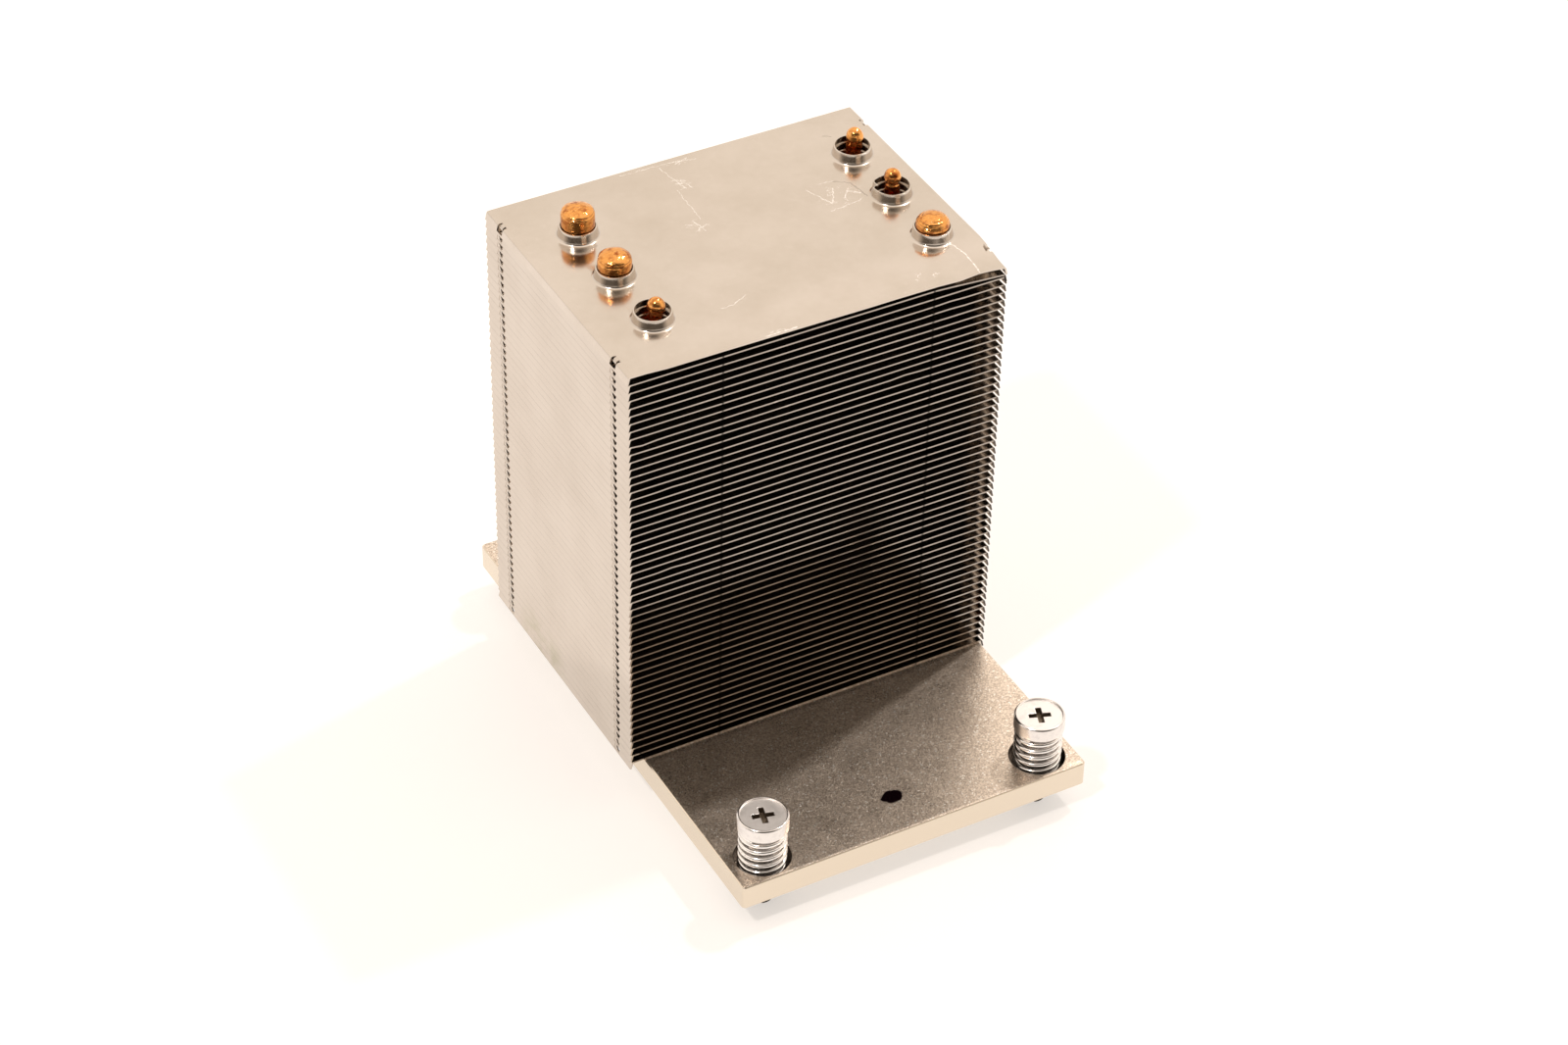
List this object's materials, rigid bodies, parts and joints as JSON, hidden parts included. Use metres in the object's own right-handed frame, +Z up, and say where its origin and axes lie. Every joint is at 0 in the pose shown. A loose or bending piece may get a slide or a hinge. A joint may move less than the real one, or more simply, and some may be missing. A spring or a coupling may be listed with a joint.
{
  "type": "passive server cpu heatsink",
  "caption": "Tall passive server processor cooler: folded fins on U-shaped copper heat pipes, nickel-plated base plate and captive spring screws.",
  "frame": {"origin": "centre of the base plate's contact face, which is also the centre of the four-screw pattern", "axes": "+Z up from the contact face through the fins, +Y from the front edge of the plate to the back, +X to the right along the front edge"},
  "size_m": [0.0735, 0.1056, 0.1019],
  "materials": {
    "fin_nickel": "satin",
    "plate_nickel": "satin",
    "copper": "gloss",
    "screw_zinc": "satin",
    "spring_steel": "gloss",
    "clip_steel": "satin"
  },
  "bodies": {
    "root": {"base_plate": "plate_nickel", "fin_12": "fin_nickel", "fin_13": "fin_nickel", "fin_14": "fin_nickel", "fin_15": "fin_nickel", "fin_16": "fin_nickel", "fin_17": "fin_nickel", "fin_18": "fin_nickel", "fin_19": "fin_nickel", "fin_20": "fin_nickel", "fin_21": "fin_nickel", "fin_22": "fin_nickel", "fin_23": "fin_nickel", "fin_24": "fin_nickel", "fin_25": "fin_nickel", "fin_26": "fin_nickel", "fin_27": "fin_nickel", "fin_28": "fin_nickel", "fin_29": "fin_nickel", "fin_30": "fin_nickel", "fin_31": "fin_nickel", "fin_32": "fin_nickel", "fin_33": "fin_nickel", "fin_34": "fin_nickel", "fin_35": "fin_nickel", "fin_36": "fin_nickel", "fin_37": "fin_nickel", "fin_38": "fin_nickel", "fin_39": "fin_nickel", "fin_40": "fin_nickel", "fin_41": "fin_nickel", "fin_42": "fin_nickel", "fin_43": "fin_nickel", "fin_44": "fin_nickel", "fin_45": "fin_nickel", "fin_46": "fin_nickel", "fin_47": "fin_nickel", "fin_48": "fin_nickel", "fin_49": "fin_nickel", "fin_50": "fin_nickel", "fin_51": "fin_nickel", "fin_52": "fin_nickel", "fin_53": "fin_nickel", "heat_pipe_front": "copper", "heat_pipe_middle": "copper", "heat_pipe_rear": "copper", "slotted_fins": "fin_nickel", "spring_front_left": "spring_steel", "spring_front_right": "spring_steel", "spring_rear_left": "spring_steel", "spring_rear_right": "spring_steel", "top_fin": "fin_nickel"},
    "travel_front_left": {"clip_front_left": "clip_steel"},
    "turn_front_left": {"screw_front_left": "screw_zinc"},
    "travel_front_right": {"clip_front_right": "clip_steel"},
    "turn_front_right": {"screw_front_right": "screw_zinc"},
    "travel_rear_left": {"clip_rear_left": "clip_steel"},
    "turn_rear_left": {"screw_rear_left": "screw_zinc"},
    "travel_rear_right": {"clip_rear_right": "clip_steel"},
    "turn_rear_right": {"screw_rear_right": "screw_zinc"}
  },
  "joints": [
    {"name": "screw_travel_front_left", "type": "slide", "parent": "root", "child": "travel_front_left", "axis": [0, 0, 1], "range_m": [-0.004, 0], "stiffness_N_per_m": 1500, "springref_m": 0.004, "deforming": ["spring_front_left"]},
    {"name": "screw_turn_front_left", "type": "hinge", "parent": "travel_front_left", "child": "turn_front_left", "pos_m": [-0.028, -0.047, 0.0122], "axis": [0, 0, 1], "continuous": true},
    {"name": "screw_travel_front_right", "type": "slide", "parent": "root", "child": "travel_front_right", "axis": [0, 0, 1], "range_m": [-0.004, 0], "stiffness_N_per_m": 1500, "springref_m": 0.004, "deforming": ["spring_front_right"]},
    {"name": "screw_turn_front_right", "type": "hinge", "parent": "travel_front_right", "child": "turn_front_right", "pos_m": [0.028, -0.047, 0.0122], "axis": [0, 0, 1], "continuous": true},
    {"name": "screw_travel_rear_left", "type": "slide", "parent": "root", "child": "travel_rear_left", "axis": [0, 0, 1], "range_m": [-0.004, 0], "stiffness_N_per_m": 1500, "springref_m": 0.004, "deforming": ["spring_rear_left"]},
    {"name": "screw_turn_rear_left", "type": "hinge", "parent": "travel_rear_left", "child": "turn_rear_left", "pos_m": [-0.028, 0.047, 0.0122], "axis": [0, 0, 1], "continuous": true},
    {"name": "screw_travel_rear_right", "type": "slide", "parent": "root", "child": "travel_rear_right", "axis": [0, 0, 1], "range_m": [-0.004, 0], "stiffness_N_per_m": 1500, "springref_m": 0.004, "deforming": ["spring_rear_right"]},
    {"name": "screw_turn_rear_right", "type": "hinge", "parent": "travel_rear_right", "child": "turn_rear_right", "pos_m": [0.028, 0.047, 0.0122], "axis": [0, 0, 1], "continuous": true}
  ]
}
